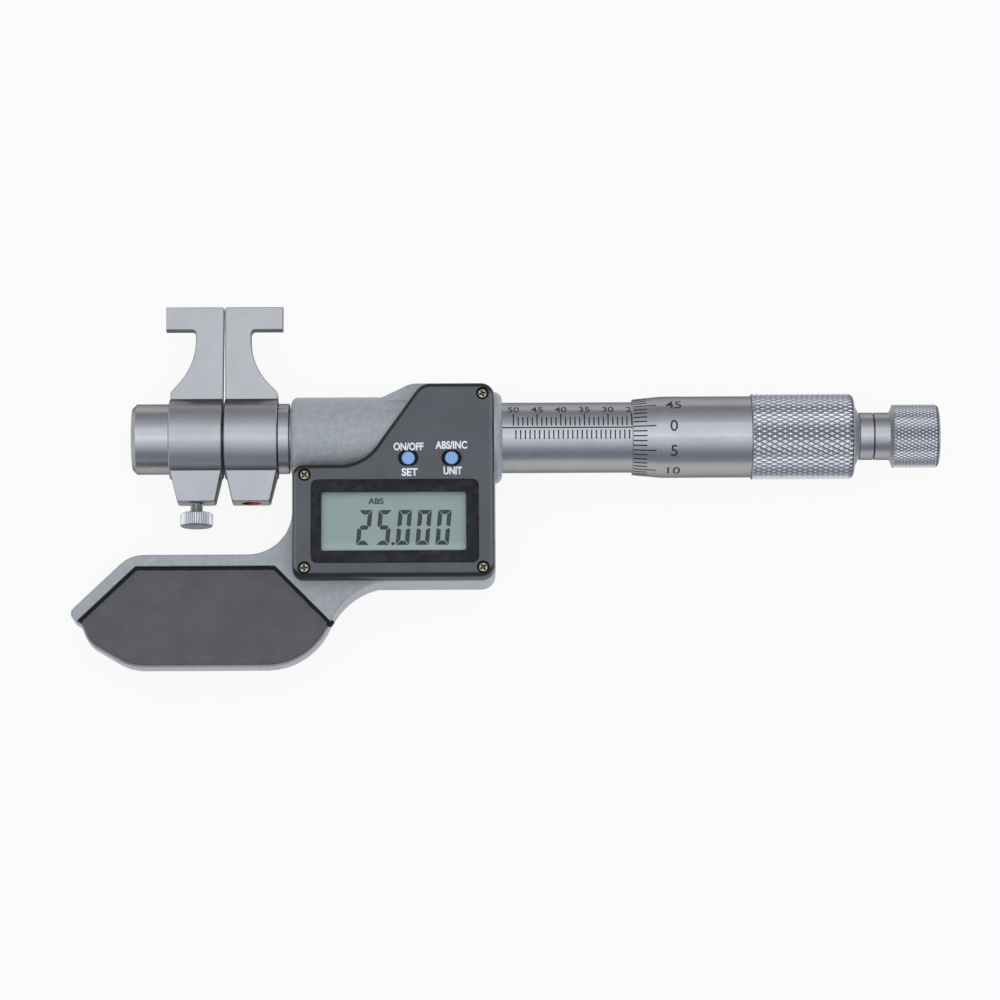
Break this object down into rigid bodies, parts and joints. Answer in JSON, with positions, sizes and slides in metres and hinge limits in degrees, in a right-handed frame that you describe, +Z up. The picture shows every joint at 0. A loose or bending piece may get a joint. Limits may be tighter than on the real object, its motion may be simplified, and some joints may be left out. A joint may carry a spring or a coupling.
{
  "type": "inside micrometer",
  "caption": "Electronic inside micrometer with caliper-type jaws, graduated sleeve and thimble, friction ratchet, display with buttons, and a cast grip handle.",
  "frame": {"origin": "middle of the bottom of the whole object, lying on its back", "axes": "+X along the spindle towards the ratchet knob, +Y towards the tips of the jaws, +Z up out of the display"},
  "size_m": [0.1836, 0.0778, 0.0201],
  "materials": {
    "frame_paint": "light grey hammered enamel, semi-gloss",
    "grip_pad": "dark grey, finely grained",
    "cover_plastic": "dark grey moulded, fine grain",
    "nickel_screw": "nickel plated",
    "display_glass": "clear, with a dark border",
    "lcd": "grey-green liquid crystal panel",
    "circuit_board": "green board",
    "dark_steel": "blackened steel",
    "black_rubber": "matt",
    "button_blue": "smooth",
    "bright_steel": "ground and polished",
    "cap_plastic": "dark moulded",
    "satin_chrome": "satin chrome plated"
  },
  "bodies": {
    "frame": {"frame_casting": "frame_paint", "front_pad": "grip_pad", "back_pad": "grip_pad", "front_cover": "cover_plastic", "cover_screws": "nickel_screw", "display_window": "display_glass", "lcd_panel": "lcd", "circuit_board": "circuit_board", "button_switches": "dark_steel", "button_bezels": "black_rubber", "battery": "bright_steel", "battery_contact": "bright_steel", "encoder_stator": "circuit_board", "guide_bush": "satin_chrome", "fixed_jaw": "satin_chrome", "key_screw": "dark_steel", "inner_sleeve": "bright_steel", "adjusting_nut": "bright_steel", "sleeve": "satin_chrome"},
    "carriage": {"moving_jaw": "satin_chrome", "jaw_holder": "satin_chrome", "guide_rod": "bright_steel", "spindle_clip": "dark_steel"},
    "thimble_group": {"thimble": "satin_chrome", "spindle": "bright_steel", "ratchet_body": "bright_steel", "ratchet_screw": "bright_steel"},
    "ratchet_group": {"ratchet_knob": "satin_chrome", "ratchet_pawl": "dark_steel", "ratchet_spring": "dark_steel"},
    "rotor": {"encoder_rotor": "circuit_board"},
    "clamp_screw_body": {"clamp_screw": "bright_steel"},
    "on_off": {"on_off_button": "button_blue"},
    "mode": {"mode_button": "button_blue"},
    "battery_cover": {"battery_cap": "cap_plastic", "cap_o_ring": "black_rubber"}
  },
  "joints": [
    {"name": "jaw_slide", "type": "slide", "parent": "frame", "child": "carriage", "axis": [-1, 0, 0], "range_m": [0, 0.025]},
    {"name": "thimble_turn", "type": "hinge", "parent": "carriage", "child": "thimble_group", "pos_m": [0.04862, 0.01043, 0.0099], "axis": [-1, 0, 0], "range_deg": [0, 18000]},
    {"name": "ratchet_turn", "type": "hinge", "parent": "thimble_group", "child": "ratchet_group", "pos_m": [0.08662, 0.01043, 0.0099], "axis": [-1, 0, 0], "continuous": true},
    {"name": "encoder_turn", "type": "hinge", "parent": "frame", "child": "rotor", "pos_m": [-0.00838, 0.01043, 0.0099], "axis": [-1, 0, 0], "range_deg": [0, 18000]},
    {"name": "clamp_screw_turn", "type": "hinge", "parent": "carriage", "child": "clamp_screw_body", "pos_m": [-0.0658, -0.00558, 0.0099], "axis": [0, -1, 0], "range_deg": [0, 360]},
    {"name": "on_off_press", "type": "slide", "parent": "frame", "child": "on_off", "axis": [0, 0, -1], "range_m": [0, 0.0006], "stiffness_N_per_m": 600, "springref_m": -0.0006},
    {"name": "mode_press", "type": "slide", "parent": "frame", "child": "mode", "axis": [0, 0, -1], "range_m": [0, 0.0006], "stiffness_N_per_m": 600, "springref_m": -0.0006},
    {"name": "battery_cap_turn", "type": "hinge", "parent": "frame", "child": "battery_cover", "pos_m": [-0.02338, -0.00907, 0.0009], "axis": [0, 0, -1], "range_deg": [0, 60]}
  ],
  "couplings": [
    {"joint": "thimble_turn", "follows": "jaw_slide", "rad_per_m": 12566},
    {"joint": "encoder_turn", "follows": "jaw_slide", "rad_per_m": 12566}
  ]
}
